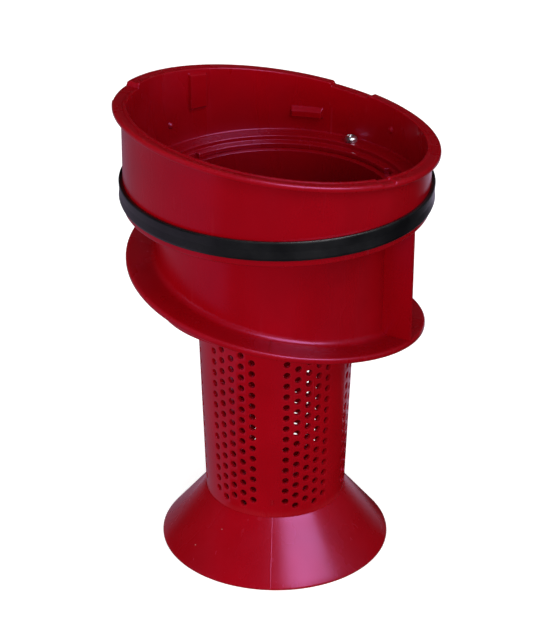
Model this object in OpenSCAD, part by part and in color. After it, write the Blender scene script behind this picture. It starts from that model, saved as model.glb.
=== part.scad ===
// Cyclonic separator that hangs in the dust bin of an upright vacuum cleaner.
// A filter cup with a slanted rim sits on a round housing with a helical roof, which sends the
// incoming air round and down. An upright baffle stands on the roof. A perforated grille with a
// flared skirt twist-locks into the neck below the housing.
// Frame: millimetres, +Z up, origin at the centre of the skirt's base, +X towards the
// low side of the rim. Every round feature is centred on the Z axis.

/* [Collar] */
// Outer radius of the cup's wall
collar_r = 73; // [71.5:0.1:73.5]
// Wall thickness of the cup
collar_t = 2.5; // [2.2:0.1:2.8]
// Outer radius of the rim's lip
lip_r = 77.1; // [75.5:0.1:79]
// Thickness of the lip
lip_t = 3; // [2:0.1:4]
// Height of the rim's plane on the axis
rim_z = 224.6; // [220:0.1:232]
// Slope of the rim, falling towards +X, in degrees
rim_slope = 8.51; // [0:0.01:9.5]
// Radius of the bowl's inner opening
opening_r = 58.5; // [57:0.1:59]
// Radius of the step on the bowl's ledge
ledge_step_r = 62.5; // [61:0.1:63]

/* [Bin seal] */
// Outer radius of the seal
seal_r = 75; // [74.6:0.1:75.4]
// Height of the seal's outer face
seal_h = 9.6; // [8.6:0.1:10]

/* [Housing] */
// Outer radius of the housing's wall
wall_r = 58; // [57.5:0.1:58.4]
// Wall thickness of the housing
wall_t = 2.5; // [2.2:0.1:2.8]
// Outer radius of the helical roof
roof_r = 72.6; // [71.5:0.1:73]
// Thickness of the roof
roof_t = 3.2; // [2.6:0.1:3.6]
// Height of the roof's underside halfway round
roof_mid_z = 140.2; // [139:0.1:142]
// Drop of the roof over its one turn
roof_drop = 50.4; // [46:0.1:52]
// Direction of the step where the turn starts and ends, in degrees from +X
step_angle = 60; // [55:1:65]
// Height of the housing floor's underside
floor_z = 133; // [132:0.1:134]
// Direction of the upright baffle on the roof, in degrees from +X
baffle_angle = -41.5; // [-44:0.5:-39]
// Thickness of the upright walls
upright_t = 2.6; // [2.2:0.1:3]

/* [Grille] */
// Outer radius of the tube where it leaves the skirt
tube_low_r = 34.9; // [34.5:0.1:35.3]
// Outer radius of the tube where it meets the neck
tube_top_r = 38.3; // [38.1:0.1:38.6]
// Wall thickness of the tube
tube_t = 2; // [1.8:0.1:2.4]
// Radius of one perforation
hole_r = 1.7; // [1.2:0.05:1.9]
// Distance between the perforations of one column
hole_pitch = 6; // [5.8:0.1:6]
// Perforations in a long column; the short columns have one less
hole_rows = 15; // [8:1:15]
// Angle between neighbouring columns, in degrees
column_step = 8.5; // [8:0.1:9]
// How much lower the perforations of the three rear panels sit
rear_drop = 1.5; // [0:0.1:2]
// Angle through which the grille turns to unlock, in degrees
unlock_turn = 24; // [22:1:26]

/* [Skirt] */
// Radius of the skirt's lower edge
skirt_r = 57.3; // [50:0.1:60]
// Height of the skirt
skirt_h = 28.3; // [28.3:0.1:29]
// Wall thickness of the skirt, measured level
skirt_t = 2.6; // [2.2:0.1:3]

/* [Hidden] */
$fn = 96;
far = 300;              // longer than the part, for cutting tools
bite = 0.4;             // how far a joined feature sinks into its neighbour
rim_inset = 0.2;        // how far the upright walls stop inside the roof's rim
moulded_red = [0.60, 0.03, 0.06];
black_rubber = [0.06, 0.06, 0.07];
bright_steel = [0.75, 0.76, 0.78];

// The stack of level faces where cup, seal and housing meet
flange_low_z = 184;
seat_low_z = 186.7;
seat_z = 189.2;
rim_joint_z = 187.9;
wall_foot_z = 191.2;
ledge_z = 191.7;
floor_plug_r = 71.6;    // the cup's floor, inside the housing's raised edge
flange_r = 73.2;
flange_core_r = 54;     // the housing's hollow cuts the flange back from here
seat_joint_r = 64.2;
collar_in_r = collar_r - collar_t;

// Catches and guides inside the cup, and cut-outs of its rim
catch_angle = 64.7;
catch_span = 13;
pad_angle = 111;
pad_span = 8;
bump_angles = [24.7, 125];
keyway_angles = [11, 121];
bin_notch = [146, 167, 2.3];    // first angle, last angle, depth
lid_notch = [38, 55, 1.7];
lip_nick = [-65, -59, 0.7];

// Screws that hold the cup on the housing
screw_ring_r = 66.3;
screw_angle = 43.5;
screw_r = 1.5;
screw_head_r = 3.3;
screw_head_h = 3.2;
screw_length = 6.6;

// Neck and twist lock
spigot_r = 38;
running_gap = 0.06;
neck_low_z = 123;
neck_r = 43;
track_z = [126.65, 130.4];      // height of the track that the lugs turn in
lug_z = [126.75, 130.2];
lug_r = 40.2;
lug_span = 14;
entry_span = 16;
lug_angle = 30;
spigot_top_z = 134.8;
groove_z = [131.2, 132.9];      // groove of the neck seal
cord_r = 0.82;                  // half the seal's thickness
stop_ring_r = 40.6;
stop_ring_z = 121.5;

// Perforated panels between blank strips
panels = 6;
panel_angle = -18;
columns = 5;
first_hole_z = 34.5;
drill_from_r = 29;
rear_panels = [1, 3];           // first and last panel of the lowered perforations

// Marks that line up when the grille is locked
mark_angle = -105.5;

// Fixing of the skirt
hub_t = 2.5;
boss_ring_r = 29.4;
boss_r = 2.9;
boss_angle = 12;
boss_gap = 8;                   // half the angle that the spigot leaves free for a boss
hub_spigot_h = 2.9;
hub_spigot_t = 1.6;

// Underside of the roof at angle a: one turn that eases in and out, a from step - 360 to step
function roof_z(a) = roof_mid_z - roof_drop / 2 * sin((a - step_angle + 180) / 2);

function polar(r, a, z) = [r * cos(a), r * sin(a), z];

// Height of a column's lowest perforation
function column_foot(panel, column) =
    first_hole_z
    - (panel >= rear_panels[0] && panel <= rear_panels[1] ? rear_drop : 0)
    + hole_pitch / 2 * ((column + 1) % 2);

module ring(r_out, r_in, z0, z1) {
    translate([0, 0, z0])
        difference() {
            cylinder(r = r_out, h = z1 - z0);
            translate([0, 0, -1]) cylinder(r = r_in, h = z1 - z0 + 2);
        }
}

// A profile of [radius, height] points, turned from angle a0 to a1
module arc_of(points, a0, a1) {
    rotate([0, 0, a0]) rotate_extrude(angle = a1 - a0) polygon(points);
}

// A block of ring between two radii, two heights and two angles
module arc_block(r_in, r_out, z0, z1, a0, a1) {
    arc_of([[r_in, z0], [r_out, z0], [r_out, z1], [r_in, z1]], a0, a1);
}

// A slice of the given angle, centred on +X, between two heights
module wedge(span, z0, z1) {
    translate([0, 0, z0])
        linear_extrude(z1 - z0)
            polygon([[0, 0], [far * cos(span / 2), -far * sin(span / 2)],
                     [far * cos(span / 2), far * sin(span / 2)]]);
}

// Everything below the rim's slanted plane, lowered by depth
module below_rim(depth = 0) {
    translate([0, 0, rim_z])
        rotate([0, rim_slope, 0])
            translate([-far / 2, -far / 2, -far - depth])
                cube([far, far, far]);
}

// A ring segment whose lower and upper faces follow given heights along the turn
module spiral_slab(a0, a1, steps, r_in, r_out, z_low, z_high) {
    points = [for (i = [0 : steps])
        let (a = a0 + (a1 - a0) * i / steps)
        each [polar(r_in(a), a, z_low(a)), polar(r_out(a), a, z_low(a)),
              polar(r_out(a), a, z_high(a)), polar(r_in(a), a, z_high(a))]];
    sides = [for (i = [0 : steps - 1], k = [0 : 3])
        [4 * i + k, 4 * i + (k + 1) % 4, 4 * i + 4 + (k + 1) % 4, 4 * i + 4 + k]];
    ends = [[3, 2, 1, 0], [for (k = [0 : 3]) 4 * steps + k]];
    polyhedron(points, concat(sides, ends), convexity = 6);
}

// A pan-head screw, head up, its head's underside at z = 0
module pan_screw(length) {
    difference() {
        union() {
            cylinder(r = screw_head_r, h = screw_head_h * 0.55);
            translate([0, 0, screw_head_h * 0.55])
                cylinder(r1 = screw_head_r, r2 = screw_head_r * 0.62, h = screw_head_h * 0.45, $fn = 48);
            translate([0, 0, -length + 1]) cylinder(r = screw_r, h = length, $fn = 48);
            translate([0, 0, -length]) cylinder(r1 = screw_r * 0.5, r2 = screw_r, h = 1, $fn = 48);
        }
        for (turn = [0, 90])
            rotate([0, 0, turn])
                translate([-screw_head_r * 0.55, -0.45, screw_head_h - 1.6])
                    cube([screw_head_r * 1.1, 0.9, 2]);
    }
}

module ledge_screw_places() {
    for (k = [0 : 2])
        rotate([0, 0, screw_angle + 120 * k])
            translate([screw_ring_r, 0, ledge_z])
                children();
}

module skirt_screw_places() {
    for (k = [0 : 2])
        rotate([0, 0, boss_angle + 120 * k])
            translate([boss_ring_r, 0, skirt_h - hub_t])
                children();
}

// A cut into the rim's upper face, from the bowl outwards
module rim_notch(span) {
    difference() {
        arc_block(collar_in_r - 3, lip_r + 3, rim_z - 30, rim_z + 30, span[0], span[1]);
        below_rim(span[2]);
    }
}

module collar() {
    color(moulded_red)
    difference() {
        union() {
            intersection() {
                ring(collar_r, collar_in_r, wall_foot_z, rim_z + 30);
                below_rim();
            }
            intersection() {
                ring(lip_r, collar_in_r, rim_z - 30, rim_z + 30);
                difference() {
                    below_rim();
                    below_rim(lip_t);
                }
            }
            // floor: the ledge, its step down to the seat, and the fillet at the wall
            rotate_extrude()
                polygon([
                    [opening_r, seat_low_z], [seat_joint_r - 0.1, seat_low_z],
                    [seat_joint_r - 0.1, seat_z], [floor_plug_r, seat_z],
                    [floor_plug_r, wall_foot_z + bite], [collar_in_r + bite, ledge_z + 1.2],
                    [collar_in_r, ledge_z + 1.2], [collar_in_r - 0.3, ledge_z + 0.3],
                    [collar_in_r - 0.8, ledge_z], [ledge_step_r, ledge_z],
                    [ledge_step_r, seat_z], [opening_r, seat_z]]);
            // catch for the filter's frame
            arc_of([[collar_in_r + bite, 199.6], [collar_in_r - 2.4, 199.6],
                    [collar_in_r - 2.4, 202.8], [collar_in_r, 204.6], [collar_in_r + bite, 204.6]],
                   catch_angle - catch_span / 2, catch_angle + catch_span / 2);
            // guide pad
            arc_of([[collar_in_r + bite, 208], [collar_in_r - 1.6, 209.4],
                    [collar_in_r - 1.6, 225.6], [collar_in_r + bite, 226.2]],
                   pad_angle - pad_span / 2, pad_angle + pad_span / 2);
            for (a = bump_angles)
                rotate([0, 0, a])
                    translate([collar_in_r + 0.2, 0, 203])
                        sphere(r = 1.7, $fn = 32);
        }
        rim_notch(bin_notch);
        rim_notch(lid_notch);
        rim_notch(lip_nick);
        for (a = keyway_angles)
            arc_block(opening_r - 2, opening_r + 2.4, seat_low_z - 1, seat_z + 1, a - 3, a + 3);
        ledge_screw_places()
            translate([0, 0, -20]) cylinder(r = screw_r, h = 40, $fn = 48);
    }
}

module bin_seal() {
    top = rim_joint_z + seal_h;
    color(black_rubber)
    rotate_extrude()
        polygon([
            [floor_plug_r, rim_joint_z], [seal_r - 0.7, rim_joint_z],
            [seal_r - 0.1, rim_joint_z + 0.8], [seal_r, rim_joint_z + 1.4],
            [seal_r, top - 0.5], [seal_r - 0.4, top], [collar_r, top - 0.4],
            [collar_r, wall_foot_z], [floor_plug_r, wall_foot_z]]);
}

module helix_housing() {
    color(moulded_red)
    difference() {
        union() {
            // flange with its raised edge
            rotate_extrude()
                polygon([
                    [flange_core_r, flange_low_z], [flange_r - 1, flange_low_z],
                    [flange_r, flange_low_z + 1], [flange_r, rim_joint_z],
                    [floor_plug_r, rim_joint_z], [floor_plug_r, seat_z],
                    [seat_joint_r, seat_z], [seat_joint_r, seat_low_z], [flange_core_r, seat_low_z]]);
            // wall and floor
            translate([0, 0, floor_z]) cylinder(r = wall_r, h = flange_low_z + bite - floor_z);
            // stretch of wall below the floor, down to the roof's low side
            difference() {
                ring(wall_r, wall_r - wall_t, roof_z(step_angle) - 2, floor_z + bite);
                spiral_slab(low_side[0], low_side[1] + 1, 31,
                    function (a) 45, function (a) 90,
                    function (a) 90, function (a) min(roof_z(a) + 0.8, floor_z + bite / 2));
                arc_block(0, 85, 95, floor_z + bite / 2, low_side[1], low_side[0] + 361);
            }
            spiral_slab(step_angle - 360, step_angle, 91,
                function (a) wall_r - wall_t / 2, function (a) roof_r,
                function (a) roof_z(a), function (a) roof_z(a) + roof_t);
            // baffle on the roof, and the wall that closes the step between the roof's two ends
            upright(baffle_angle, roof_z(baffle_angle) + 1, flange_low_z + bite);
            upright(step_angle, roof_z(step_angle) + bite, roof_z(step_angle - 360) + roof_t - bite);
            ring(neck_r, spigot_r, neck_low_z, floor_z + bite);
            // raised line across the roof
            rotate([0, 0, mark_angle])
                translate([wall_r - bite, -0.4, roof_z(mark_angle) + roof_t - 1])
                    cube([roof_r - wall_r - 1, 0.8, 1.35]);
        }
        // hollow above the floor
        translate([0, 0, floor_z + wall_t]) cylinder(r = wall_r - wall_t, h = far);
        // bore of the neck, the lugs' track and their way in
        translate([0, 0, neck_low_z - 1]) cylinder(r = spigot_r + running_gap, h = 20);
        translate([0, 0, track_z[0]]) cylinder(r = lug_r + 0.3, h = track_z[1] - track_z[0]);
        intersection() {
            translate([0, 0, neck_low_z - 1])
                cylinder(r = lug_r + 0.3, h = track_z[1] - neck_low_z + 1);
            for (k = [0 : 2])
                rotate([0, 0, lug_angle + unlock_turn + 120 * k])
                    wedge(entry_span, neck_low_z - 2, track_z[1] + 2);
        }
        ledge_screw_places()
            translate([0, 0, -screw_length]) cylinder(r = screw_r, h = 20, $fn = 48);
    }
}

// Upright wall across the roof at an angle, between two heights that lie inside its neighbours
module upright(angle, low, high) {
    intersection() {
        rotate([0, 0, angle])
            translate([wall_r - wall_t / 2, -upright_t / 2, low])
                cube([20, upright_t, high - low]);
        cylinder(r = roof_r - rim_inset, h = far);
    }
}

// Angles between which the roof runs lower than the floor
low_side = [step_angle - 180 + 2 * asin((roof_mid_z - floor_z) * 2 / roof_drop), step_angle];

module ledge_screws() {
    color(bright_steel)
    ledge_screw_places() pan_screw(screw_length);
}

module grille_tube() {
    color(moulded_red)
    difference() {
        union() {
            rotate_extrude()
                polygon([
                    [tube_low_r - tube_t, skirt_h], [tube_low_r, skirt_h],
                    [tube_top_r, stop_ring_z], [stop_ring_r, stop_ring_z],
                    [stop_ring_r, neck_low_z - 0.1], [spigot_r, neck_low_z - 0.1],
                    [spigot_r, groove_z[0]], [spigot_r - 1.6, groove_z[0]],
                    [spigot_r - 1.6, groove_z[1]], [spigot_r, groove_z[1]],
                    [spigot_r, spigot_top_z], [spigot_r - 2.3, spigot_top_z],
                    [tube_top_r - tube_t - 0.4, stop_ring_z + 2]]);
            for (k = [0 : 2])
                arc_block(spigot_r - bite, lug_r, lug_z[0], lug_z[1],
                    lug_angle + 120 * k - lug_span / 2, lug_angle + 120 * k + lug_span / 2);
            for (k = [0 : 2])
                rotate([0, 0, boss_angle + 120 * k]) {
                    translate([boss_ring_r, 0, skirt_h]) cylinder(r = boss_r, h = 9, $fn = 48);
                    translate([boss_ring_r, -0.9, skirt_h]) cube([5, 1.8, 9]);
                }
            rotate([0, 0, mark_angle])
                translate([tube_low_r - 0.5, -0.4, 35.6]) cube([1.15, 0.8, 3]);
        }
        // the drills stop short of the axis, so that none meets another
        for (panel = [0 : panels - 1], column = [0 : columns - 1])
            rotate([0, 0, panel_angle + 60 * panel + column_step * (column - 2)])
                for (row = [0 : hole_rows - 1 - (column + 1) % 2])
                    translate([drill_from_r, 0, column_foot(panel, column) + hole_pitch * row])
                        rotate([0, 90, 0]) cylinder(r = hole_r, h = 14, $fn = 24);
        skirt_screw_places()
            translate([0, 0, -1]) cylinder(r = screw_r, h = 10, $fn = 48);
    }
}

module neck_seal() {
    color(black_rubber)
    translate([0, 0, (groove_z[0] + groove_z[1]) / 2])
        rotate_extrude()
            translate([spigot_r + 0.04 - cord_r, 0]) circle(r = cord_r, $fn = 32);
}

module skirt() {
    color(moulded_red)
    difference() {
        union() {
            rotate_extrude()
                polygon([
                    [skirt_r - skirt_t + 0.4, 0], [skirt_r - 0.3, 0], [skirt_r, 0.4], [skirt_r, 1],
                    [tube_low_r + 0.2, skirt_h], [0, skirt_h],
                    [0, skirt_h - hub_t], [tube_low_r - 1.2, skirt_h - hub_t],
                    [skirt_r - skirt_t, 1]]);
            // spigot that centres the tube, in three stretches between the screw bosses
            for (k = [0 : 2])
                arc_block(tube_low_r - tube_t - hub_spigot_t, tube_low_r - tube_t,
                    skirt_h - bite, skirt_h + hub_spigot_h,
                    boss_angle + boss_gap + 120 * k, boss_angle + 120 - boss_gap + 120 * k);
        }
        skirt_screw_places()
            translate([0, 0, -1]) cylinder(r = screw_r, h = 10, $fn = 48);
    }
}

module skirt_screws() {
    color(bright_steel)
    skirt_screw_places() mirror([0, 0, 1]) pan_screw(8);
}

collar();
bin_seal();
helix_housing();
ledge_screws();
grille_tube();
neck_seal();
skirt();
skirt_screws();
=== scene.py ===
import math
import bmesh
import bpy
from mathutils import Matrix, Vector


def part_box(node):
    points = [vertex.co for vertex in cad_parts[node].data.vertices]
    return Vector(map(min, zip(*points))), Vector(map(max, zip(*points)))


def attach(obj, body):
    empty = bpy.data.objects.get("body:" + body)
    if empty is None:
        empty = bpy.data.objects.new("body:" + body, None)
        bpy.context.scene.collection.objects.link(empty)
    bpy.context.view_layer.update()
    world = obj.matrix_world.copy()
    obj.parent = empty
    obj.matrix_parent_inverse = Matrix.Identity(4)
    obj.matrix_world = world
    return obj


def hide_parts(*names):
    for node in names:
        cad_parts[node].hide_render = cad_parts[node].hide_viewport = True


# The looks of the cyclonic separator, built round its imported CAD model. Lengths here are in
# millimetres and angles in degrees from +X, seen from above; meshes are made in metres.
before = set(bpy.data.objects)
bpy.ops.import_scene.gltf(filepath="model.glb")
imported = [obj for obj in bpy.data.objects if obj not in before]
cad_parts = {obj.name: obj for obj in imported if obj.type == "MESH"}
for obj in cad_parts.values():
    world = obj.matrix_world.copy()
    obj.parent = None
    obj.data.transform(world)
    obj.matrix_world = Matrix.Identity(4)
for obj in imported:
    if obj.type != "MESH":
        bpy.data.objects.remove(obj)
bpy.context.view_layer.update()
MM = 0.001


def reach_mm(node, axis, side):
    """One coordinate of a CAD node's box, in millimetres. side is 0 for lowest, 1 for highest."""
    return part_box(node)[side][axis] / MM


# ------------------------------------------------------------------ dimensions
# Collar: the filter cup with its slanted rim
LIP_R = reach_mm("collar", 1, 1)
LIP_T = 3.0
COLLAR_R = 73.0
COLLAR_IN_R = 70.5
RIM_Z = 224.6
RIM_SLOPE = math.tan(math.radians(8.51))
OPENING_R = 58.5
LEDGE_STEP_R = 62.5
SEAT_LOW_Z = reach_mm("collar", 2, 0)
SEAT_Z = SEAT_LOW_Z + 2.5
LEDGE_Z = SEAT_Z + 2.5
WALL_FOOT_Z = LEDGE_Z - 0.5
FLOOR_PLUG_R = 71.6
SEAT_JOINT_R = 64.2
CATCH = {"angle": 64.7, "span": 13.0, "z": (199.6, 202.8, 204.6), "depth": 2.4}
PAD = {"angle": 111.0, "span": 8.0, "z": (208.0, 226.0), "depth": 1.6}
BUMPS = {"angles": (24.7, 125.0), "z": 203.0, "r": 1.7, "sunk": 0.2}
KEYWAYS = {"angles": (11.0, 121.0), "half": 3.0, "depth": 2.4}
NOTCHES = ((146.0, 167.0, 2.3), (38.0, 55.0, 1.7), (-65.0, -59.0, 0.7))
BEAD_W = 1.5
BEAD_H = 0.35

# Bin seal
SEAL_R = reach_mm("bin_seal", 0, 1)
SEAL_LOW_Z = reach_mm("bin_seal", 2, 0)
SEAL_TOP_Z = reach_mm("bin_seal", 2, 1)

# Helix housing
WALL_R = 58.0
WALL_T = 2.5
ROOF_R = 72.6
ROOF_T = 3.2
ROOF_MID_Z = 140.2
ROOF_DROP = 50.4
STEP_ANGLE = 60.0
UPRIGHT_T = 2.6
BAFFLE = {"angle": -41.5, "sunk": 1.5, "inset": 0.3}
FLANGE_R = reach_mm("helix_housing", 1, 1)
FLANGE_LOW_Z = 184.0
FLANGE_TOP_Z = SEAL_LOW_Z
FLOOR_Z = 133.0
NECK_R = 43.0
NECK_LOW_Z = 123.0
BORE_R = 38.06
TRACK = {"z": (126.65, 130.4), "r": 40.5}
MARK_ANGLE = -105.5
MARK_W = 0.8
ROOF_LINE = {"height": 0.35, "sunk": 1.05, "inset": 1.4}

# Grille
TUBE_LOW_R = 34.9
TUBE_TOP_R = 38.3
TUBE_T = 2.0
TUBE_LOW_Z = reach_mm("grille_tube", 2, 0)
STOP_RING_Z = 121.5
STOP_RING_R = 40.6
SPIGOT_R = 38.0
SPIGOT_TOP_Z = reach_mm("grille_tube", 2, 1)
GROOVE = {"z": (131.2, 132.9), "r": 36.4}
LUGS = {"angle": 30.0, "half": 7.0, "r": 40.2, "z": (126.75, 130.2)}
HOLE_R = 1.7
HOLE_EDGE = 0.12
HOLE_PITCH = 6.0
FIRST_HOLE_Z = 34.5
PANEL_ANGLE = -18.0
PANEL_STEP = 60.0
COLUMNS = 5
COLUMN_STEP = 8.5
REAR_PANELS = (1, 2, 3)
REAR_DROP = 1.5
BOSS = {"ring_r": 29.4, "r": 2.9, "angle": 12.0, "height": 9.0}

# Skirt
SKIRT_R = reach_mm("skirt", 1, 1)
SKIRT_H = TUBE_LOW_Z
SKIRT_T = 2.6
HUB_T = 2.5
SKIRT_SPIGOT_H = 2.9

# Screws
SCREW = {"head_r": 3.3, "head_h": 3.2, "shank_r": 1.5}
LEDGE_SCREW = {"ring_r": 66.3, "angle": 43.5, "length": 6.6}
SKIRT_SCREW = {"ring_r": BOSS["ring_r"], "angle": BOSS["angle"], "length": 8.0}


# ------------------------------------------------------------------ mesh helpers
SHARP = 35.0                # edges that turn by more than this many degrees stay sharp


def sine(angle):
    return math.sin(math.radians(angle))


def cosine(angle):
    return math.cos(math.radians(angle))


def polar(radius, angle, z):
    """A point in metres from millimetres and degrees."""
    return Vector((radius * cosine(angle), radius * sine(angle), z)) * MM


def smoothstep(x, low, high):
    t = min(1.0, max(0.0, (x - low) / (high - low)))
    return t * t * (3 - 2 * t)


def pulse(x, low, high, ease):
    """1 between low and high, 0 outside, with an eased edge of the given width."""
    rise = smoothstep(x, low - ease / 2, low + ease / 2)
    fall = smoothstep(x, high - ease / 2, high + ease / 2)
    return rise * (1 - fall)


def turned(angle, centre):
    """How far angle is from centre, the short way round."""
    return (angle - centre + 180) % 360 - 180


def rounded(corners, steps=4):
    """A closed outline from corners (radius, height, rounding, pieces of the run to the next corner)."""
    outline = []
    spots = [Vector(c[:2]) for c in corners]
    for i, corner in enumerate(corners):
        here, before, after = spots[i], spots[i - 1], spots[(i + 1) % len(spots)]
        rounding = corner[2] if len(corner) > 2 else 0
        if rounding:
            back, ahead = before - here, after - here
            half = back.angle(ahead) / 2
            tangent = min(rounding / math.tan(half), 0.48 * back.length, 0.48 * ahead.length)
            start, end = here + back.normalized() * tangent, here + ahead.normalized() * tangent
            middle = here + (back.normalized() + ahead.normalized()).normalized() * (tangent / math.cos(half))
            for step in range(steps + 1):
                outline.append(middle + slerp(start - middle, end - middle, step / steps))
        else:
            outline.append(here)
    runs, result = run_pieces(corners, steps), []
    for i, spot in enumerate(outline):
        following = outline[(i + 1) % len(outline)]
        for piece in range(runs[i]):
            result.append(spot.lerp(following, piece / runs[i]))
    return result


def slerp(start, end, share):
    """From one arm of an arc to the other, round their common centre."""
    sweep = start.angle_signed(end, 0.0)
    return Matrix.Rotation(-sweep * share, 2) @ start


def run_pieces(corners, steps):
    """For each point of a rounded outline, how many pieces lie before the next point."""
    runs = []
    for corner in corners:
        count = steps + 1 if len(corner) > 2 and corner[2] else 1
        runs += [1] * (count - 1) + [corner[3] if len(corner) > 3 else 1]
    return runs


def smooth(mesh, sharp=SHARP):
    mesh.shade_smooth()
    mesh.set_sharp_from_angle(angle=math.radians(sharp))


def finish_mesh(name, shape, sharp=SHARP, weld=2e-6):
    """Welds, orients and smooths a bmesh, and returns it as an object in the scene."""
    bmesh.ops.remove_doubles(shape, verts=shape.verts, dist=weld)
    bmesh.ops.recalc_face_normals(shape, faces=shape.faces)
    mesh = bpy.data.meshes.new(name)
    shape.to_mesh(mesh)
    shape.free()
    smooth(mesh, sharp)
    made = bpy.data.objects.new(name, mesh)
    bpy.context.scene.collection.objects.link(made)
    return made


def skin(shape, rings, wrap=True):
    """Quads between neighbouring rings of points, each ring closed on itself."""
    rows = [[shape.verts.new(p) for p in ring] for ring in rings]
    pairs = list(zip(rows, rows[1:] + rows[:1] if wrap else rows[1:]))
    for row, following in pairs:
        for k in range(len(row)):
            shape.faces.new((row[k - 1], row[k], following[k], following[k - 1]))
    return rows


def lace(shape, rings):
    """Quads between neighbouring rows of points. The rows make a closed turn, and each row is open."""
    rows = [[shape.verts.new(p) for p in ring] for ring in rings]
    for row, following in zip(rows, rows[1:] + rows[:1]):
        for k in range(len(row) - 1):
            shape.faces.new((row[k], row[k + 1], following[k + 1], following[k]))
    return rows


def loft(name, angles, section):
    """A closed body whose upright section (a list of radius, height) changes with the angle."""
    shape = bmesh.new()
    skin(shape, [[polar(r, a, z) for r, z in section(a)] for a in angles])
    return finish_mesh(name, shape)


def angle_list(base_step, fine_spots, fine_step, fine_half, start=0.0):
    """Angles of one turn: an even base, closer together near the given spots."""
    base = [start + k * base_step for k in range(round(360 / base_step))]
    found = set()
    for spot in fine_spots:
        count = round(fine_half / fine_step)
        for k in range(-count, count + 1):
            found.add(round(start + (spot + k * fine_step - start) % 360, 4))
    near = [a for a in base if all(abs(turned(a, f)) > fine_step * 0.6 for f in found)]
    return sorted(near + list(found))


def joined(name, target, tools):
    """target united with each tool; the tools are removed."""
    for tool in tools:
        change = target.modifiers.new("join", "BOOLEAN")
        change.operation = "UNION"
        change.solver = "MANIFOLD"
        change.object = tool
    bpy.context.view_layer.update()
    graph = bpy.context.evaluated_depsgraph_get()
    mesh = bpy.data.meshes.new_from_object(target.evaluated_get(graph))
    target.modifiers.clear()
    old = target.data
    target.data = mesh
    bpy.data.meshes.remove(old)
    for tool in tools:
        bpy.data.objects.remove(tool)
    mesh.name = name
    smooth(mesh)
    return target


def radial_block(name, angle, reach, wide, heights, edge):
    """A block with rounded edges along a radius, between two radii and two heights."""
    shape = bmesh.new()
    bmesh.ops.create_cube(shape, size=1)
    size = Vector((reach[1] - reach[0], wide, heights[1] - heights[0])) * MM
    middle = Vector((sum(reach) / 2, 0, sum(heights) / 2)) * MM
    place = Matrix.Rotation(math.radians(angle), 4, "Z") @ Matrix.Translation(middle)
    bmesh.ops.transform(shape, verts=shape.verts, matrix=place @ Matrix.Diagonal((*size, 1)))
    bmesh.ops.bevel(shape, geom=list(shape.edges), offset=edge * MM, segments=2, affect="EDGES")
    return finish_mesh(name, shape)


# ------------------------------------------------------------------ collar
PAD_REST_Z = 206.0          # the inner wall's rows above this height rise and fall with the rim


def rim_height(radius, angle):
    return RIM_Z - RIM_SLOPE * radius * cosine(angle)


def rim_drop(angle):
    """Depth of the rim's cut-outs at an angle."""
    ease = 0.9
    return sum(depth * pulse(turned(angle, (first + last) / 2) + (first + last) / 2, first, last, ease)
               for first, last, depth in NOTCHES)


def inner_relief(angle, z):
    """How far the catch and the bumps stand out of the cup's inner wall."""
    low, knee, top = CATCH["z"]
    half = CATCH["span"] / 2
    out = pulse(turned(angle, CATCH["angle"]), -half, half, 0.7)
    height = smoothstep(z, low - 0.3, low + 0.15) * min(1.0, max(0.0, (top - z) / (top - knee)))
    relief = CATCH["depth"] * out * height
    for spot in BUMPS["angles"]:
        across = math.radians(turned(angle, spot)) * COLLAR_IN_R
        away = across ** 2 + (z - BUMPS["z"]) ** 2
        if away < BUMPS["r"] ** 2:
            relief = max(relief, math.sqrt(BUMPS["r"] ** 2 - away) - BUMPS["sunk"])
    return relief


def collar_inner_wall(angle):
    """Points of the cup's inner wall from the rim down to the ledge's fillet."""
    top = rim_height(COLLAR_IN_R, angle) - rim_drop(angle) - 0.6
    pad_top = rim_height(COLLAR_IN_R, PAD["angle"]) - 0.6
    pad_out = PAD["depth"] * pulse(turned(angle, PAD["angle"]), -PAD["span"] / 2, PAD["span"] / 2, 0.7)
    points = []
    low, high = PAD["z"]
    levels = [high + d for d in (0.9, 0.5, 0.15, -0.2, -0.6, -1.0)] + [221.0, 216.0, 212.0]
    levels += [low + d for d in (1.4, 1.0, 0.65, 0.3, 0.0, -0.35, -0.7)]
    for level in levels:
        share = (level - PAD_REST_Z) / (pad_top - PAD_REST_Z)
        out = pad_out * pulse(level, low, high, 1.2)
        points.append((COLLAR_IN_R - out, PAD_REST_Z + share * (top - PAD_REST_Z)))
    rows = 22
    for k in range(rows):
        z = 205.4 - k * 0.34
        points.append((COLLAR_IN_R - inner_relief(angle, z), z))
    return points


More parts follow.
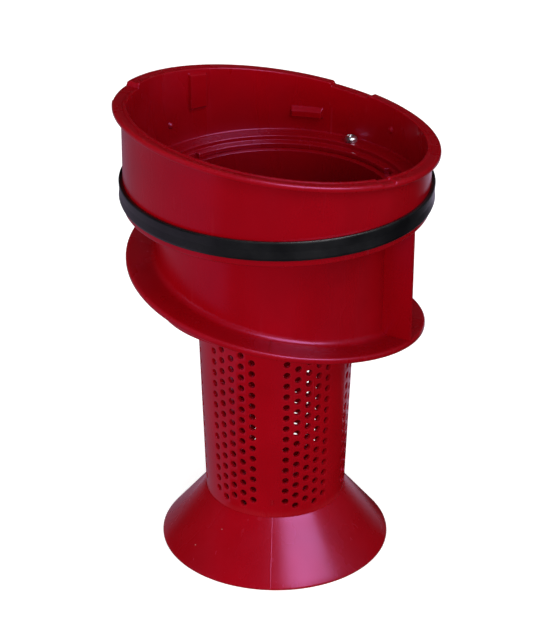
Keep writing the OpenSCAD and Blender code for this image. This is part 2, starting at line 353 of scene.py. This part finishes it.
def collar_section(angle):
    drop = rim_drop(angle)
    under = LIP_T / math.cos(math.atan(RIM_SLOPE))
    bead_r = COLLAR_IN_R + BEAD_W
    opening = OPENING_R + sum(
        KEYWAYS["depth"] * pulse(turned(angle, k), -KEYWAYS["half"], KEYWAYS["half"], 0.8)
        for k in KEYWAYS["angles"])
    outside = [
        (COLLAR_R, WALL_FOOT_Z, 0.3, 6),
        (COLLAR_R, rim_height(COLLAR_R, angle) - under, 1.5),
        (LIP_R, rim_height(LIP_R, angle) - under, 0.9),
        (LIP_R, rim_height(LIP_R, angle) - drop, 1.8, 2),
        (bead_r + 0.4, rim_height(bead_r, angle) - drop - BEAD_H, 0.25),
        (bead_r, rim_height(bead_r, angle) - drop, 0.25),
        (COLLAR_IN_R, rim_height(COLLAR_IN_R, angle) - drop, 0.5),
    ]
    inner_wall = [(r, z, 0) for r, z in collar_inner_wall(angle)]
    floor = [
        (COLLAR_IN_R, LEDGE_Z, 0.9, 3),
        (LEDGE_STEP_R, LEDGE_Z, 0.6, 1),
        (LEDGE_STEP_R, SEAT_Z, 0.5, 1),
        (opening, SEAT_Z, 0.6, 1),
        (opening, SEAT_LOW_Z, 0.4, 1),
        (SEAT_JOINT_R - 0.1, SEAT_LOW_Z),
        (SEAT_JOINT_R - 0.1, SEAT_Z),
        (FLOOR_PLUG_R, SEAT_Z),
        (FLOOR_PLUG_R, WALL_FOOT_Z),
    ]
    return rounded(outside + inner_wall + floor)


def make_collar():
    spots = [a for first, last, _ in NOTCHES for a in (first, last)]
    spots += [CATCH["angle"] + s * CATCH["span"] / 2 for s in (-1, 1)]
    spots += [PAD["angle"] + s * PAD["span"] / 2 for s in (-1, 1)]
    spots += [k + s * KEYWAYS["half"] for k in KEYWAYS["angles"] for s in (-1, 1)]
    spots += [b + d for b in BUMPS["angles"] for d in (-1.05, 0.0, 1.05)]
    return loft("filter_cup", angle_list(1.5, spots, 0.15, 0.6), collar_section)


# ------------------------------------------------------------------ bin seal
def make_seal():
    outline = rounded([
        (FLOOR_PLUG_R, SEAL_LOW_Z),
        (SEAL_R - 0.45, SEAL_LOW_Z, 0.4),
        (SEAL_R, SEAL_LOW_Z + 1.3, 0.8),
        (SEAL_R - 0.28, (SEAL_LOW_Z + SEAL_TOP_Z) / 2, 2.0),
        (SEAL_R, SEAL_TOP_Z - 0.9, 0.8),
        (SEAL_R - 0.3, SEAL_TOP_Z, 0.35),
        (COLLAR_R + 0.02, SEAL_TOP_Z - 0.4, 0.2),
        (COLLAR_R + 0.02, WALL_FOOT_Z),
        (FLOOR_PLUG_R, WALL_FOOT_Z),
    ])
    return loft("lip_seal", [k * 1.5 for k in range(240)], lambda a: outline)


# ------------------------------------------------------------------ helix housing
STEP_GAP = 0.05             # angle over which the roof's two ends pass into the end wall
END_WALL_HALF = math.degrees(UPRIGHT_T / 2 / (ROOF_R - 3))


def roof_under(angle):
    """Height of the roof's underside, one turn that falls from STEP_ANGLE - 360 to STEP_ANGLE."""
    return ROOF_MID_Z - ROOF_DROP / 2 * sine((angle - STEP_ANGLE + 180) / 2)


def housing_section(angle):
    before_top_step = angle < STEP_ANGLE - END_WALL_HALF
    top = roof_under(angle if before_top_step else angle - 360) + ROOF_T
    low = roof_under(angle)
    wall_out, wall_in = WALL_R, WALL_R - WALL_T
    foot = min(FLOOR_Z, low + 0.8)
    rise = FLANGE_LOW_Z - top
    wall = [(wall_out, top + rise * share) for share in (0.8, 0.65, 0.5)]
    corners = [
        (BORE_R, NECK_LOW_Z, 0.4),
        (BORE_R, TRACK["z"][0]), (TRACK["r"], TRACK["z"][0]),
        (TRACK["r"], TRACK["z"][1]), (BORE_R, TRACK["z"][1]),
        (BORE_R, FLOOR_Z + WALL_T, 0.5, 2),
        (wall_in, FLOOR_Z + WALL_T, 1.5, 4),
        (wall_in, SEAT_LOW_Z, 0.4),
        (SEAT_JOINT_R, SEAT_LOW_Z), (SEAT_JOINT_R, SEAT_Z),
        (FLOOR_PLUG_R, SEAT_Z), (FLOOR_PLUG_R, FLANGE_TOP_Z),
        (FLANGE_R, FLANGE_TOP_Z, 0.5),
        (FLANGE_R, FLANGE_LOW_Z, 1.3, 2),
        (wall_out, FLANGE_LOW_Z, 1.5),
        *wall,
        (wall_out, top, 3.0, 3),
        (ROOF_R, top, 1.3),
        (ROOF_R, low, 0.9, 3),
        (wall_out, low, 0.5),
        (wall_out, foot), (wall_in, foot), (wall_in, FLOOR_Z - 0.01, 0, 3),
        (NECK_R, FLOOR_Z, 1.2),
        (NECK_R, NECK_LOW_Z, 0.7),
    ]
    return rounded(corners)


def make_housing():
    first = STEP_ANGLE + END_WALL_HALF - 360 + STEP_GAP
    last = STEP_ANGLE + END_WALL_HALF
    top_step = STEP_ANGLE - END_WALL_HALF
    angles = [first + k * (last - first) / 300 for k in range(301)]
    angles = [a for a in angles if abs(a - top_step) > 0.3]
    angles += [top_step - STEP_GAP, top_step]
    housing = loft("helix_housing_shell", sorted(angles), housing_section)
    baffle_low = roof_under(BAFFLE["angle"]) + ROOF_T - BAFFLE["sunk"]
    line_z = roof_under(MARK_ANGLE) + ROOF_T
    tools = [
        radial_block("baffle", BAFFLE["angle"], (WALL_R - 1, ROOF_R - BAFFLE["inset"]), UPRIGHT_T,
                     (baffle_low, FLANGE_LOW_Z + 1), 0.3),
        radial_block("roof_line", MARK_ANGLE, (WALL_R - 0.5, ROOF_R - ROOF_LINE["inset"]), MARK_W,
                     (line_z - ROOF_LINE["sunk"], line_z + ROOF_LINE["height"]), 0.15),
    ]
    return joined("helix_housing_shell", housing, tools)


# ------------------------------------------------------------------ grille
CELL_SIDE = 6               # pieces along each side of a cell with one perforation
STRIP_SIDE = 6              # pieces across the blank strip between two panels


def tube_radius(z):
    return TUBE_LOW_R + (TUBE_TOP_R - TUBE_LOW_R) * (z - TUBE_LOW_Z) / (STOP_RING_Z - TUBE_LOW_Z)


def panel_drop(panel):
    """How much lower a panel's perforations sit; panel 0 is the one at PANEL_ANGLE."""
    return REAR_DROP if panel % round(360 / PANEL_STEP) in REAR_PANELS else 0.0


def rows_drop(angle):
    """The same at any angle, with an even change across the blank strips."""
    place = (angle - PANEL_ANGLE) / PANEL_STEP
    before = math.floor(place)
    half = COLUMNS * COLUMN_STEP / 2 / PANEL_STEP
    share = min(1.0, max(0.0, (place - before - half) / (1 - 2 * half)))
    return panel_drop(before) * (1 - share) + panel_drop(before + 1) * share


def tube_point(angle, z, inside):
    return polar(tube_radius(z) - (TUBE_T if inside else 0), angle, z)


def cell_rim(angle, z):
    """Points round the edge of a cell as (angle, z), anticlockwise from its lower right corner."""
    wide, high, n = COLUMN_STEP / 2, HOLE_PITCH / 2, CELL_SIDE
    corners = [(wide, -high), (wide, high), (-wide, high), (-wide, -high)]
    points = []
    for (a0, z0), (a1, z1) in zip(corners, corners[1:] + corners[:1]):
        for k in range(n):
            points.append((angle + a0 + (a1 - a0) * k / n, z + z0 + (z1 - z0) * k / n))
    return points


def hole_ring(angle, z, radius, depth):
    """A ring of a perforation: a circle of the given radius, depth millimetres under the tube's surface."""
    count = 4 * CELL_SIDE
    points = []
    for k in range(count):
        turn = -45 + 360 * k / count
        across, up = radius * cosine(turn), radius * sine(turn)
        surface = tube_radius(z + up) - depth
        points.append(polar(surface, angle + math.degrees(math.asin(across / surface)), z + up))
    return points


def add_hole_cell(shape, angle, z):
    e = HOLE_EDGE
    rings = [
        [tube_point(a, h, False) for a, h in cell_rim(angle, z)],
        hole_ring(angle, z, HOLE_R + e, 0.0),
        hole_ring(angle, z, HOLE_R + e * 0.3, e * 0.3),
        hole_ring(angle, z, HOLE_R, e),
        hole_ring(angle, z, HOLE_R, TUBE_T - e),
        hole_ring(angle, z, HOLE_R + e, TUBE_T),
        [tube_point(a, h, True) for a, h in cell_rim(angle, z)],
    ]
    skin(shape, rings, wrap=False)


def add_patch(shape, angles, levels, inside):
    """A plain patch of the tube's outer or inner face."""
    rows = [[shape.verts.new(tube_point(a, z - rows_drop(a), inside)) for a in angles] for z in levels]
    for row, above in zip(rows, rows[1:]):
        for k in range(len(row) - 1):
            shape.faces.new((row[k], row[k + 1], above[k + 1], above[k]))


def steps_between(first, last, count):
    return [first + (last - first) * k / count for k in range(count + 1)]


def tube_angles():
    """The angles that the tube's cells and strips share all round."""
    angles = []
    for panel in range(round(360 / PANEL_STEP)):
        start = PANEL_ANGLE + PANEL_STEP * panel - COLUMNS * COLUMN_STEP / 2
        end = start + COLUMNS * COLUMN_STEP
        angles += steps_between(start, end, COLUMNS * CELL_SIDE)[:-1]
        angles += steps_between(end, start + PANEL_STEP, STRIP_SIDE)[:-1]
    return angles


def add_panel(shape, panel):
    centre = PANEL_ANGLE + PANEL_STEP * panel
    low, top = FIRST_HOLE_Z - HOLE_PITCH / 2, STOP_RING_Z
    rows = round((top - low) / HOLE_PITCH)
    for column in range(COLUMNS):
        angle = centre + COLUMN_STEP * (column - (COLUMNS - 1) / 2)
        shifted = column % 2 == 0
        for row in range(rows - shifted):
            add_hole_cell(shape, angle, FIRST_HOLE_Z - panel_drop(panel) + HOLE_PITCH * (row + shifted / 2))
        if shifted:
            across = steps_between(angle - COLUMN_STEP / 2, angle + COLUMN_STEP / 2, CELL_SIDE)
            for first in (low, top - HOLE_PITCH / 2):
                levels = steps_between(first, first + HOLE_PITCH / 2, CELL_SIDE // 2)
                add_patch(shape, across, levels, False)
                add_patch(shape, across, levels, True)
    half = COLUMNS * COLUMN_STEP / 2
    across = steps_between(centre + half, centre + PANEL_STEP - half, STRIP_SIDE)
    levels = steps_between(low, top, rows * CELL_SIDE)
    add_patch(shape, across, levels, False)
    add_patch(shape, across, levels, True)


def spigot_section(angle):
    """The tube's upper end, from the highest cells up over the spigot and down inside."""
    lug = max(pulse(turned(angle, LUGS["angle"] + 120 * k), -LUGS["half"], LUGS["half"], 1.0)
              for k in range(3))
    lug_r = SPIGOT_R + (LUGS["r"] - SPIGOT_R) * lug
    top_in_r = SPIGOT_R - 2.3
    start_z = STOP_RING_Z - rows_drop(angle)
    return [
        (tube_radius(start_z), start_z), (TUBE_TOP_R, STOP_RING_Z),
        (STOP_RING_R - 0.3, STOP_RING_Z), (STOP_RING_R, STOP_RING_Z + 0.3),
        (STOP_RING_R, NECK_LOW_Z - 0.4), (STOP_RING_R - 0.3, NECK_LOW_Z - 0.1),
        (SPIGOT_R, NECK_LOW_Z - 0.1), (SPIGOT_R, LUGS["z"][0]), (lug_r, LUGS["z"][0] + 0.05),
        (lug_r, LUGS["z"][1] - 0.05), (SPIGOT_R, LUGS["z"][1]), (SPIGOT_R, GROOVE["z"][0]),
        (GROOVE["r"], GROOVE["z"][0]), (GROOVE["r"], GROOVE["z"][1]), (SPIGOT_R, GROOVE["z"][1]),
        (SPIGOT_R, SPIGOT_TOP_Z - 0.5), (SPIGOT_R - 0.15, SPIGOT_TOP_Z - 0.15),
        (SPIGOT_R - 0.5, SPIGOT_TOP_Z), (top_in_r + 0.4, SPIGOT_TOP_Z), (top_in_r, SPIGOT_TOP_Z - 0.4),
        (TUBE_TOP_R - TUBE_T - 0.3, STOP_RING_Z + 2), (TUBE_TOP_R - TUBE_T, STOP_RING_Z),
        (tube_radius(start_z) - TUBE_T, start_z),
    ]


def foot_section(angle):
    """The tube's foot, from the lowest cells inside, round its end, to the lowest cells outside."""
    low = FIRST_HOLE_Z - HOLE_PITCH / 2 - rows_drop(angle)
    return [(tube_radius(low) - TUBE_T, low), (TUBE_LOW_R - TUBE_T, TUBE_LOW_Z),
            (TUBE_LOW_R, TUBE_LOW_Z), (tube_radius(low), low)]


def add_tube_ends(shape):
    angles = tube_angles()
    for outline in (spigot_section, foot_section):
        lace(shape, [[polar(r, a, z) for r, z in outline(a)] for a in angles])


def boss(k):
    """A hollow boss for one of the skirt's screws, with the web that ties it to the tube."""
    outline = rounded([(SCREW["shank_r"], 0), (BOSS["r"], 0), (BOSS["r"], BOSS["height"], 0.5),
                       (SCREW["shank_r"], BOSS["height"], 0.3)])
    shape = bmesh.new()
    skin(shape, [[polar(r, a, z) for r, z in outline] for a in range(0, 360, 10)])
    made = finish_mesh("boss", shape)
    place = Matrix.Rotation(math.radians(BOSS["angle"] + 120 * k), 4, "Z")
    made.data.transform(place @ Matrix.Translation(Vector((BOSS["ring_r"], 0, TUBE_LOW_Z + 0.01)) * MM))
    web = bmesh.new()
    bmesh.ops.create_cube(web, size=1)
    size = Vector((3.4, 1.6, BOSS["height"] - 1.0)) * MM
    middle = Vector((BOSS["ring_r"] + BOSS["r"] + 1.0, 0, TUBE_LOW_Z + size.z / MM / 2 + 0.01)) * MM
    matrix = place @ Matrix.Translation(middle) @ Matrix.Diagonal((*size, 1))
    bmesh.ops.transform(web, verts=web.verts, matrix=matrix)
    return made, finish_mesh("web", web)


def make_grille():
    shape = bmesh.new()
    for panel in range(round(360 / PANEL_STEP)):
        add_panel(shape, panel)
    add_tube_ends(shape)
    grille = finish_mesh("grille", shape)
    tools = [part for k in range(3) for part in boss(k)]
    face = tube_radius(37.1)
    tools.append(radial_block("mark", MARK_ANGLE, (face - 0.5, face + 0.6), MARK_W, (35.6, 38.6), 0.2))
    return joined("grille", grille, tools)


# ------------------------------------------------------------------ skirt
def skirt_section(angle):
    seam = 0.06 * pulse(turned(angle, MARK_ANGLE), -0.25, 0.25, 0.3)
    near_boss = max(pulse(turned(angle, BOSS["angle"] + 120 * k), -8, 8, 1.0) for k in range(3))
    spigot_top = SKIRT_H + 0.3 + (SKIRT_SPIGOT_H - 0.3) * (1 - near_boss)
    spigot_r = TUBE_LOW_R - TUBE_T - 0.02
    return rounded([
        (SKIRT_R - SKIRT_T + 0.4, 0, 0.3),
        (SKIRT_R + seam, 0, 0.45),
        (SKIRT_R + seam, 1.0, 0.9, 10),
        (TUBE_LOW_R + 0.25 + seam, SKIRT_H, 0.22),
        (spigot_r, SKIRT_H),
        (spigot_r, spigot_top, 0.3),
        (spigot_r - 1.6, spigot_top, 0.3),
        (spigot_r - 1.6, SKIRT_H, 0, 3),
        (0.02, SKIRT_H),
        (0.02, SKIRT_H - HUB_T, 0, 3),
        (TUBE_LOW_R - 1.2, SKIRT_H - HUB_T, 1.2, 8),
        (SKIRT_R - SKIRT_T, 1.0, 0.4),
    ])


def make_skirt():
    spots = [BOSS["angle"] + 120 * k + s * 8 for k in range(3) for s in (-1, 1)]
    spots.append(MARK_ANGLE)
    return loft("debris_skirt", angle_list(1.5, spots, 0.1, 0.6), skirt_section)


# ------------------------------------------------------------------ screws
def cross_recess(x, y):
    """Depth of a cross recess at a spot of a screw's head, in millimetres."""
    depth = 0.0
    for along, across in ((abs(x), abs(y)), (abs(y), abs(x))):
        arm = 1 - smoothstep(along, 0.5, 1.95)
        depth = max(depth, 1.5 * arm * (1 - smoothstep(across, 0.32, 0.62)))
    return depth


def screw_outline(length):
    """Half section of a pan-head screw, from the tip up to the head's middle, z 0 under the head."""
    r, h = SCREW["head_r"], SCREW["head_h"]
    points = [(0.02, -length), (SCREW["shank_r"] * 0.5, -length), (SCREW["shank_r"], -length + 1),
              (SCREW["shank_r"], 0), (r - 0.25, 0), (r, 0.2), (r, h * 0.4)]
    dome = 14
    for k in range(1, dome + 1):
        t = 90 * k / dome
        points.append((r * cosine(t) ** 0.7 if k < dome else 0.02, h * 0.4 + h * 0.6 * sine(t)))
    return points


def make_screw(name, place, length):
    shape = bmesh.new()
    outline = screw_outline(length)
    count = 72
    rings = []
    for k in range(count):
        a = 360 * k / count
        ring = []
        for r, z in outline:
            cut = cross_recess(r * cosine(a), r * sine(a)) if z > SCREW["head_h"] * 0.5 else 0
            ring.append(polar(r, a, z - cut))
        rings.append(ring)
    rows = lace(shape, rings)
    for end in (0, -1):
        shape.faces.new([row[end] for row in rows])
    made = finish_mesh(name, shape, sharp=40.0)
    made.data.transform(place)
    return made


def screw_places(screw, z, flip):
    for k in range(3):
        turn = Matrix.Rotation(math.radians(screw["angle"] + 120 * k), 4, "Z")
        place = turn @ Matrix.Translation(Vector((screw["ring_r"], 0, z)) * MM)
        own_turn = Matrix.Rotation(math.radians(20 + 37 * k), 4, "Z")
        yield place @ (Matrix.Rotation(math.pi, 4, "X") if flip else Matrix.Identity(4)) @ own_turn


# ------------------------------------------------------------------ materials
def node(tree, kind, inputs=None, **settings):
    """A shader node with its settings made and its inputs set or linked."""
    made = tree.nodes.new(kind)
    for name, value in settings.items():
        setattr(made, name, value)
    for name, value in (inputs or {}).items():
        if isinstance(value, bpy.types.NodeSocket):
            tree.links.new(value, made.inputs[name])
        else:
            made.inputs[name].default_value = value
    return made


def math_node(tree, operation, first, second=0.5, clamp=False):
    made = node(tree, "ShaderNodeMath", {0: first, 1: second}, operation=operation)
    made.use_clamp = clamp
    return made.outputs[0]


def ramp(tree, value, low, high, out_low=0.0, out_high=1.0):
    """value taken from the range low to high onto out_low to out_high, held at the ends."""
    made = node(tree, "ShaderNodeMapRange", {
        "Value": value, "From Min": low, "From Max": high, "To Min": out_low, "To Max": out_high})
    made.clamp = True
    return made.outputs["Result"]


def noise(tree, place, scale, detail=2.0, roughness=0.5, stretch=None):
    if stretch:
        place = node(tree, "ShaderNodeMapping", {"Vector": place, "Scale": stretch}).outputs[0]
    return node(tree, "ShaderNodeTexNoise", {
        "Vector": place, "Scale": scale, "Detail": detail, "Roughness": roughness}).outputs["Fac"]


def mix(tree, share, first, second, blend="MIX"):
    made = node(tree, "ShaderNodeMix", data_type="RGBA", blend_type=blend)
    for socket, value in ((made.inputs[0], share), (made.inputs[6], first), (made.inputs[7], second)):
        if isinstance(value, bpy.types.NodeSocket):
            tree.links.new(value, socket)
        else:
            socket.default_value = value
    return made.outputs[2]


def new_material(name):
    material = bpy.data.materials.new(name)
    material.use_nodes = True
    tree = material.node_tree
    tree.nodes.clear()
    shader = node(tree, "ShaderNodeBsdfPrincipled")
    out = node(tree, "ShaderNodeOutputMaterial")
    tree.links.new(shader.outputs[0], out.inputs["Surface"])
    place = node(tree, "ShaderNodeTexCoord").outputs["Object"]
    return material, tree, shader, place


def specks(tree, place, scale, size, share):
    """Sparse small dots: 1 inside a dot."""
    cells = node(tree, "ShaderNodeTexVoronoi", {"Vector": place, "Scale": scale, "Randomness": 1.0})
    chosen = math_node(tree, "LESS_THAN", node(
        tree, "ShaderNodeSeparateColor", {0: cells.outputs["Color"]}).outputs[0], share)
    dot = ramp(tree, cells.outputs["Distance"], size * scale * 0.6, size * scale, 1.0, 0.0)
    return math_node(tree, "MULTIPLY", chosen, dot)


RED_LIGHT = (0.265, 0.0003, 0.003, 1)
RED_DEEP = (0.21, 0.0002, 0.002, 1)
RED_WORN = (0.36, 0.02, 0.03, 1)
DUST = (0.75, 0.5, 0.5, 1)


def red_plastic(name, roughness, grain, seed, tone=1.0):
    """Glossy moulded plastic: cloudy pigment, a faint skin, fine scratches, rubbed edges, specks of dust."""
    material, tree, shader, place = new_material(name)
    place = node(tree, "ShaderNodeMapping", {"Vector": place, "Location": (seed, seed * 0.7, 0)}).outputs[0]
    cloud = noise(tree, place, 22, 3, 0.55)
    fine = noise(tree, place, 900, 2, 0.5)
    flow = noise(tree, place, 60, 3, 0.5, (1, 1, 0.25))
    scratch = noise(tree, place, 420, 2, 0.4, (1, 1, 0.03))
    scratch_where = ramp(tree, noise(tree, place, 35, 2), 0.52, 0.66)
    scratches = math_node(tree, "MULTIPLY", ramp(tree, scratch, 0.66, 0.72), scratch_where)
    dust = specks(tree, place, 75, 0.00028, 0.10)
    geometry = node(tree, "ShaderNodeNewGeometry").outputs["Pointiness"]
    worn = math_node(tree, "MULTIPLY", ramp(tree, geometry, 0.515, 0.56),
                     ramp(tree, cloud, 0.3, 0.65, 0.2, 0.7))
    # tone above 1 paints the red lighter: painted light, a lit copy of the same plastic
    deep, light = [(*(tone * c for c in red[:3]), 1) for red in (RED_DEEP, RED_LIGHT)]
    colour = mix(tree, ramp(tree, cloud, 0.3, 0.7), deep, light)
    colour = mix(tree, math_node(tree, "MULTIPLY", worn, 0.35), colour, RED_WORN)
    colour = mix(tree, math_node(tree, "MULTIPLY", scratches, 0.10), colour, RED_WORN)
    colour = mix(tree, math_node(tree, "MULTIPLY", dust, 0.6), colour, DUST)
    rough = ramp(tree, flow, 0.3, 0.7, roughness - 0.03, roughness + 0.05)
    rough = math_node(tree, "ADD", rough, math_node(tree, "MULTIPLY", scratches, 0.12))
    rough = math_node(tree, "ADD", rough, math_node(tree, "MULTIPLY", dust, 0.4), clamp=True)
    height = math_node(tree, "MULTIPLY", fine, grain)
    height = math_node(tree, "ADD", height, math_node(tree, "MULTIPLY", flow, 0.012))
    height = math_node(tree, "SUBTRACT", height, math_node(tree, "MULTIPLY", scratches, 0.002))
    height = math_node(tree, "ADD", height, math_node(tree, "MULTIPLY", dust, 0.02))
    bump = node(tree, "ShaderNodeBump", {"Height": height, "Distance": MM, "Strength": 1.0})
    tree.links.new(colour, shader.inputs["Base Color"])
    tree.links.new(rough, shader.inputs["Roughness"])
    tree.links.new(bump.outputs[0], shader.inputs["Normal"])
    shader.inputs["IOR"].default_value = 1.5
    shader.inputs["Specular Tint"].default_value = (0.8, 0.39, 1.0, 1)
    return material


def black_rubber(name, seed):
    """Smooth rubber with a faint bloom, fine moulding lines round it and a little dust."""
    material, tree, shader, place = new_material(name)
    place = node(tree, "ShaderNodeMapping", {"Vector": place, "Location": (seed, 0, 0)}).outputs[0]
    bloom = noise(tree, place, 45, 4, 0.6)
    lines = noise(tree, place, 260, 2, 0.5, (0.12, 0.12, 9))
    grit = noise(tree, place, 1500, 2)
    dust = specks(tree, place, 110, 0.0003, 0.12)
    colour = mix(tree, ramp(tree, bloom, 0.35, 0.75), (0.004, 0.004, 0.005, 1), (0.011, 0.011, 0.013, 1))
    colour = mix(tree, math_node(tree, "MULTIPLY", dust, 0.6), colour, (0.25, 0.24, 0.24, 1))
    rough = ramp(tree, bloom, 0.3, 0.7, 0.30, 0.42)
    height = math_node(tree, "ADD", math_node(tree, "MULTIPLY", lines, 0.010),
                       math_node(tree, "MULTIPLY", grit, 0.004))
    bump = node(tree, "ShaderNodeBump", {"Height": height, "Distance": MM, "Strength": 1.0})
    tree.links.new(colour, shader.inputs["Base Color"])
    tree.links.new(rough, shader.inputs["Roughness"])
    tree.links.new(bump.outputs[0], shader.inputs["Normal"])
    shader.inputs["IOR"].default_value = 1.52
    return material


def zinc_steel(name):
    """Zinc-plated steel: bright, slightly cloudy, with fine turning marks."""
    material, tree, shader, place = new_material(name)
    cloud = noise(tree, place, 500, 3)
    grain = noise(tree, place, 2500, 2, 0.5, (1, 1, 4))
    colour = mix(tree, cloud, (0.60, 0.62, 0.66, 1), (0.86, 0.87, 0.90, 1))
    rough = ramp(tree, cloud, 0.3, 0.7, 0.24, 0.38)
    bump = node(tree, "ShaderNodeBump", {
        "Height": math_node(tree, "MULTIPLY", grain, 0.012), "Distance": MM, "Strength": 1.0})
    tree.links.new(colour, shader.inputs["Base Color"])
    tree.links.new(rough, shader.inputs["Roughness"])
    tree.links.new(bump.outputs[0], shader.inputs["Normal"])
    shader.inputs["Metallic"].default_value = 1.0
    return material


def dress(piece, material, slot, body, *nodes):
    """Gives a piece its material and its body, and hides the CAD nodes it stands for. The slot argument is
    not used.
    """
    piece.data.materials.clear()
    piece.data.materials.append(material)
    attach(piece, body)
    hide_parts(*nodes)


# ------------------------------------------------------------------ the pieces
cup_red = red_plastic("cup_red_plastic", 0.27, 0.0016, 0.0)
housing_red = red_plastic("housing_red_plastic", 0.27, 0.0016, 3.1)
# The grille's tone of 1.17 paints its red lighter than the other red parts: painted light for the grille's
# brighter look, not a different pigment.
grille_red = red_plastic("grille_red_plastic", 0.26, 0.0022, 5.7, 1.17)
skirt_red = red_plastic("skirt_red_plastic", 0.25, 0.0014, 8.3)
seal_rubber = black_rubber("seal_rubber", 0.0)
ring_rubber = black_rubber("o_ring_rubber", 2.0)
steel = zinc_steel("zinc_steel")

dress(make_collar(), cup_red, "cup_red", "separator", "collar")
dress(make_seal(), seal_rubber, "seal_rubber", "separator", "bin_seal")
dress(make_housing(), housing_red, "housing_red", "separator", "helix_housing")
for number, where in enumerate(screw_places(LEDGE_SCREW, LEDGE_Z, False), 1):
    screw = make_screw(f"ledge_screw_{number}", where, LEDGE_SCREW["length"])
    dress(screw, steel, "screw_steel", "separator", "ledge_screws")
dress(make_grille(), grille_red, "grille_red", "grille", "grille_tube")
dress(make_skirt(), skirt_red, "skirt_red", "grille", "skirt")
for number, where in enumerate(screw_places(SKIRT_SCREW, SKIRT_H - HUB_T, True), 1):
    screw = make_screw(f"skirt_screw_{number}", where, SKIRT_SCREW["length"])
    dress(screw, steel, "skirt_screw_steel", "grille", "skirt_screws")
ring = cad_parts["neck_seal"]
ring.data.materials.clear()
ring.data.materials.append(ring_rubber)

# ------------------------------------------------------------------ stage, light and camera
VIEW_AZIMUTH = -12.9
VIEW_ELEVATION = 27.37
VIEW_DISTANCE = 1.0811
VIEW_TARGET = Vector((-0.00413, 0.00095, 0.12009))
VIEW_ROLL = 0.23
LENS = 124.28
MIDDLE = Vector((0, 0, 0.12))


def outward(azimuth, elevation):
    """Unit vector from the object towards a place; azimuth 0 is -Y and 90 is +X."""
    flat = math.cos(math.radians(elevation))
    return Vector((sine(azimuth) * flat, -cosine(azimuth) * flat, sine(elevation)))


def make_camera():
    back = outward(VIEW_AZIMUTH, VIEW_ELEVATION)
    camera = bpy.data.objects.new("camera", bpy.data.cameras.new("camera"))
    bpy.context.scene.collection.objects.link(camera)
    right = Vector((0, 0, 1)).cross(back).normalized()
    up = back.cross(right)
    turn = math.radians(VIEW_ROLL)
    across = right * math.cos(turn) + up * math.sin(turn)
    axes = Matrix((across, back.cross(across), back)).transposed().to_4x4()
    camera.matrix_world = Matrix.Translation(VIEW_TARGET + back * VIEW_DISTANCE) @ axes
    camera.data.sensor_width = 36
    camera.data.lens = LENS
    camera.data.clip_start = 0.05
    camera.data.clip_end = 50
    bpy.context.scene.camera = camera


def softbox(name, azimuth, elevation, distance, size, power, colour=(1, 1, 1), glossy=True, diffuse=True):
    """A rectangular light that faces the object, placed by its direction from the camera's side."""
    lamp = bpy.data.objects.new(name, bpy.data.lights.new(name, "AREA"))
    bpy.context.scene.collection.objects.link(lamp)
    lamp.data.shape = "RECTANGLE"
    lamp.data.size, lamp.data.size_y = size
    lamp.data.energy = power
    lamp.data.color = colour
    direction = outward(VIEW_AZIMUTH + azimuth, elevation)
    lamp.location = MIDDLE + direction * distance
    lamp.rotation_mode = "QUATERNION"
    lamp.rotation_quaternion = direction.to_track_quat("Z", "Y")
    lamp.visible_camera = False
    lamp.visible_glossy = glossy
    lamp.visible_diffuse = diffuse
    return lamp


def table_glow(name, azimuth, near, far, width, radiance, colour):
    """A bright stretch of the table beside the object, which only its gloss shows."""
    size = (width, far - near)
    power = radiance * math.pi * size[0] * size[1]
    lamp = softbox(name, azimuth, 0, (near + far) / 2, size, power, colour, diffuse=False)
    lamp.location.z = -0.012
    lamp.rotation_mode = "XYZ"
    lamp.rotation_euler = (math.pi, 0, math.radians(VIEW_AZIMUTH + azimuth))
    return lamp


def make_floor():
    shape = bmesh.new()
    bmesh.ops.create_grid(shape, x_segments=8, y_segments=8, size=16)
    floor = finish_mesh("floor", shape)
    material, tree, shader, place = new_material("paper")
    grain = noise(tree, place, 900, 2)
    colour = mix(tree, grain, (0.86, 0.86, 0.86, 1), (0.89, 0.89, 0.89, 1))
    tree.links.new(colour, shader.inputs["Base Color"])
    shader.inputs["Roughness"].default_value = 0.9
    shader.inputs["Specular IOR Level"].default_value = 0.1
    shader.inputs["Emission Color"].default_value = (1, 1, 1, 1)
    shader.inputs["Emission Strength"].default_value = 0.5
    floor.data.materials.append(material)
    floor.visible_glossy = False
    floor.visible_diffuse = False
    floor.visible_shadow = False


def make_world():
    world = bpy.data.worlds.new("studio")
    world.use_nodes = True
    back = world.node_tree.nodes["Background"]
    back.inputs["Color"].default_value = (1, 1, 1, 1)
    back.inputs["Strength"].default_value = 0.3
    world.cycles_visibility.glossy = False
    bpy.context.scene.world = world


DAYLIGHT = (0.97, 0.98, 1.0)
MAGENTA_GLOW = (0.85, 0.75, 1.0)
make_camera()
make_floor()
make_world()
softbox("key", 40, 47, 1.9, (1.3, 0.9), 12, DAYLIGHT, glossy=False)
softbox("key_gloss", 41, 47, 1.6, (1.2, 0.9), 28, DAYLIGHT, diffuse=False)
softbox("front", -5, 14.5, 2.0, (2.4, 0.8), 29, glossy=False)
softbox("left", -68, 10, 1.9, (1.4, 0.9), 14, glossy=False)
softbox("right", 75, 10, 1.9, (1.4, 0.9), 8, glossy=False)
softbox("fill", -30, 75, 1.9, (1.6, 1.2), 4, glossy=False)
softbox("back", 170, 35, 2.0, (2.0, 1.0), 10, glossy=False)
table_glow("table_left", -128, 0.05, 1.4, 1.5, 0.27, (0.85, 0.70, 1.0))
table_glow("table_right", 147, 0.37, 0.9, 0.22, 0.7, MAGENTA_GLOW)
table_glow("table_back_right", 172, 0.12, 1.4, 0.3, 0.7, MAGENTA_GLOW)
bpy.context.scene.view_settings.view_transform = "Standard"
